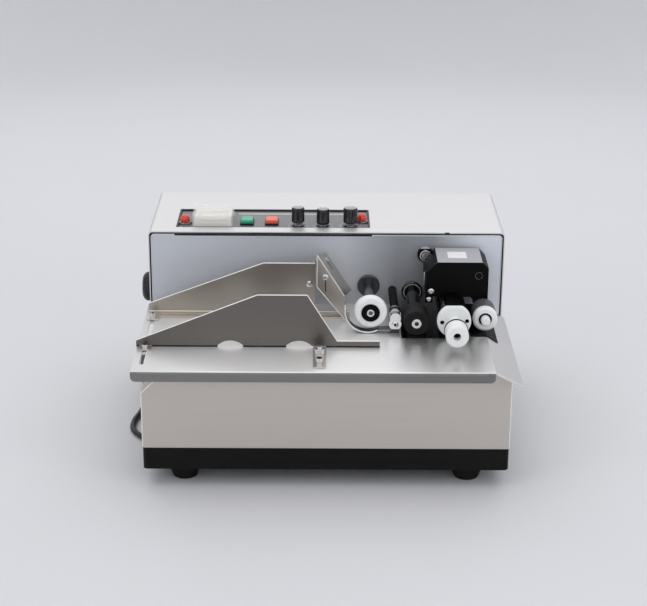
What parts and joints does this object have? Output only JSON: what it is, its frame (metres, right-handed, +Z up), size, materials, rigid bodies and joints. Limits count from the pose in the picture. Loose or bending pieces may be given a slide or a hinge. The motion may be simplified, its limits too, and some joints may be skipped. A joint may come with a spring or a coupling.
{
  "type": "date coding machine",
  "caption": "Desk date coder: cards stand between bent-sheet guides, friction rollers feed them under an inked type drum, and a roller delivers them to the right.",
  "frame": {"origin": "middle of the machine's box on the floor, without the mains lead", "axes": "+X to the right as seen from the front, +Y to the back, +Z up"},
  "size_m": [0.4182, 0.4568, 0.2327],
  "materials": {
    "tray_black": "satin black paint",
    "foot_rubber": "matt rubber",
    "casing_steel": "brushed stainless sheet",
    "table_steel": "bright brushed stainless sheet",
    "guide_steel": "brushed stainless sheet, duller",
    "plate_steel": "brushed stainless plate",
    "zinc_sheet": "plain zinc-plated sheet",
    "chrome": "bright plated",
    "black_paint": "satin black",
    "black_plastic": "satin moulded",
    "black_gloss": "gloss moulded",
    "black_rubber": "matt rubber",
    "dark_steel": "blackened steel",
    "white_nylon": "satin white nylon",
    "grey_panel": "satin grey",
    "red_lens": "gloss red lens",
    "green_cap": "gloss green",
    "red_cap": "gloss red",
    "cream_plastic": "gloss cream",
    "clear_plastic": "clear moulded",
    "motor_black": "dark cast",
    "board_green": "board laminate",
    "core_brown": "varnished core",
    "cord_black": "satin sheath"
  },
  "bodies": {
    "machine": {"base_tray": "tray_black", "rubber_feet": "foot_rubber", "lower_casing": "casing_steel", "housing_cover": "casing_steel", "housing_pan": "zinc_sheet", "front_plate": "plate_steel", "plate_gasket": "black_rubber", "rear_panel": "casing_steel", "fixing_screws": "chrome", "panel_well": "black_plastic", "control_panel": "grey_panel", "button_bezels": "black_plastic", "indicator_lamps": "red_lens", "counter_body": "cream_plastic", "work_table": "table_steel", "stop_bracket": "zinc_sheet", "arc_shoe": "chrome", "shoe_bracket": "chrome", "bearing_flanges": "dark_steel", "exit_deflector": "black_paint", "head_pivot": "chrome", "rear_bearing_plate": "zinc_sheet", "main_motor": "motor_black", "drive_belts": "black_rubber", "control_board": "board_green", "transformer": "core_brown", "cord_gland": "cord_black", "cord_run": "cord_black", "cord_coil": "cord_black", "cord_tie": "black_plastic", "mains_plug": "black_plastic"},
    "front_guide": {"front_guide": "guide_steel", "front_guide_clamps": "chrome"},
    "rear_guide": {"rear_guide": "guide_steel", "rear_guide_clamps": "chrome"},
    "stop_blade": {"stop_blade": "guide_steel"},
    "separator": {"separator_tyre": "white_nylon", "separator_shaft": "dark_steel"},
    "feed": {"feed_tyres": "black_rubber", "feed_shaft": "dark_steel"},
    "lower_feed": {"lower_feed_roller": "black_rubber"},
    "platen": {"platen_roller": "black_rubber"},
    "print": {"print_shaft": "chrome", "type_drum": "dark_steel", "print_cap": "white_nylon"},
    "delivery": {"delivery_shaft": "dark_steel", "delivery_cap": "white_nylon"},
    "motor": {"motor_pulley": "dark_steel"},
    "head": {"head_bracket": "black_paint", "head_cover": "black_paint", "head_screws": "chrome"},
    "ink": {"ink_roller": "black_rubber"},
    "counter_lid": {"counter_cover": "clear_plastic"},
    "start": {"start_button": "green_cap"},
    "stop": {"stop_button": "red_cap"},
    "temperature": {"temperature_knob": "black_gloss"},
    "feed_setting": {"feed_knob": "black_gloss"},
    "print_setting": {"print_knob": "black_gloss"},
    "side_knob": {"side_knob": "black_plastic"}
  },
  "joints": [
    {"name": "front_guide_slide", "type": "slide", "parent": "machine", "child": "front_guide", "axis": [0, 1, 0], "range_m": [-0.003, 0.03]},
    {"name": "rear_guide_slide", "type": "slide", "parent": "machine", "child": "rear_guide", "axis": [0, 1, 0], "range_m": [-0.005, 0.02]},
    {"name": "blade_slide", "type": "slide", "parent": "machine", "child": "stop_blade", "axis": [-0.5417, 0, 0.8406], "range_m": [0, 0.01]},
    {"name": "print_spin", "type": "hinge", "parent": "machine", "child": "print", "pos_m": [0.13585, -0.0213, 0.15], "axis": [0, 1, 0], "continuous": true},
    {"name": "separator_spin", "type": "hinge", "parent": "machine", "child": "separator", "pos_m": [0.04985, -0.0213, 0.153], "axis": [0, 1, 0], "continuous": true},
    {"name": "feed_spin", "type": "hinge", "parent": "machine", "child": "feed", "pos_m": [0.09735, -0.0213, 0.1465], "axis": [0, 1, 0], "continuous": true},
    {"name": "lower_feed_spin", "type": "hinge", "parent": "machine", "child": "lower_feed", "pos_m": [0.09735, -0.0213, 0.1195], "axis": [0, 1, 0], "continuous": true},
    {"name": "platen_spin", "type": "hinge", "parent": "machine", "child": "platen", "pos_m": [0.13585, -0.0213, 0.1195], "axis": [0, 1, 0], "continuous": true},
    {"name": "delivery_spin", "type": "hinge", "parent": "machine", "child": "delivery", "pos_m": [0.16985, -0.0213, 0.1453], "axis": [0, 1, 0], "continuous": true},
    {"name": "motor_spin", "type": "hinge", "parent": "machine", "child": "motor", "pos_m": [0.15385, -0.0213, 0.18], "axis": [0, 1, 0], "continuous": true},
    {"name": "head_lift", "type": "hinge", "parent": "machine", "child": "head", "pos_m": [0.11045, 0.0187, 0.1903], "axis": [0, -1, 0], "range_deg": [0, 70]},
    {"name": "ink_spin", "type": "hinge", "parent": "head", "child": "ink", "pos_m": [0.13985, -0.0113, 0.18], "axis": [0, 1, 0], "continuous": true},
    {"name": "counter_lid_hinge", "type": "hinge", "parent": "machine", "child": "counter_lid", "pos_m": [-0.12008, 0.08462, 0.2145], "axis": [-1, 0, 0], "range_deg": [0, 100]},
    {"name": "start_press", "type": "slide", "parent": "machine", "child": "start", "axis": [0, 0, -1], "range_m": [0, 0.0015], "stiffness_N_per_m": 300},
    {"name": "stop_press", "type": "slide", "parent": "machine", "child": "stop", "axis": [0, 0, -1], "range_m": [0, 0.0015], "stiffness_N_per_m": 300},
    {"name": "temperature_turn", "type": "hinge", "parent": "machine", "child": "temperature", "pos_m": [-0.02724, 0.0516, 0.2115], "axis": [0, 0, 1], "range_deg": [-140, 140]},
    {"name": "feed_turn", "type": "hinge", "parent": "machine", "child": "feed_setting", "pos_m": [-0.00002, 0.0516, 0.2115], "axis": [0, 0, 1], "range_deg": [-140, 140]},
    {"name": "print_turn", "type": "hinge", "parent": "machine", "child": "print_setting", "pos_m": [0.02994, 0.0516, 0.2115], "axis": [0, 0, 1], "range_deg": [-140, 140]},
    {"name": "side_knob_turn", "type": "hinge", "parent": "machine", "child": "side_knob", "pos_m": [-0.18865, 0.0537, 0.1395], "axis": [-1, 0, 0], "range_deg": [-150, 150]}
  ],
  "couplings": [
    {"joint": "separator_spin", "follows": "print_spin", "ratio": 1},
    {"joint": "feed_spin", "follows": "print_spin", "ratio": 1},
    {"joint": "delivery_spin", "follows": "print_spin", "ratio": 1},
    {"joint": "motor_spin", "follows": "print_spin", "ratio": 1},
    {"joint": "lower_feed_spin", "follows": "print_spin", "ratio": -1.1167},
    {"joint": "platen_spin", "follows": "print_spin", "ratio": -1.25},
    {"joint": "ink_spin", "follows": "print_spin", "ratio": -1.1364}
  ]
}
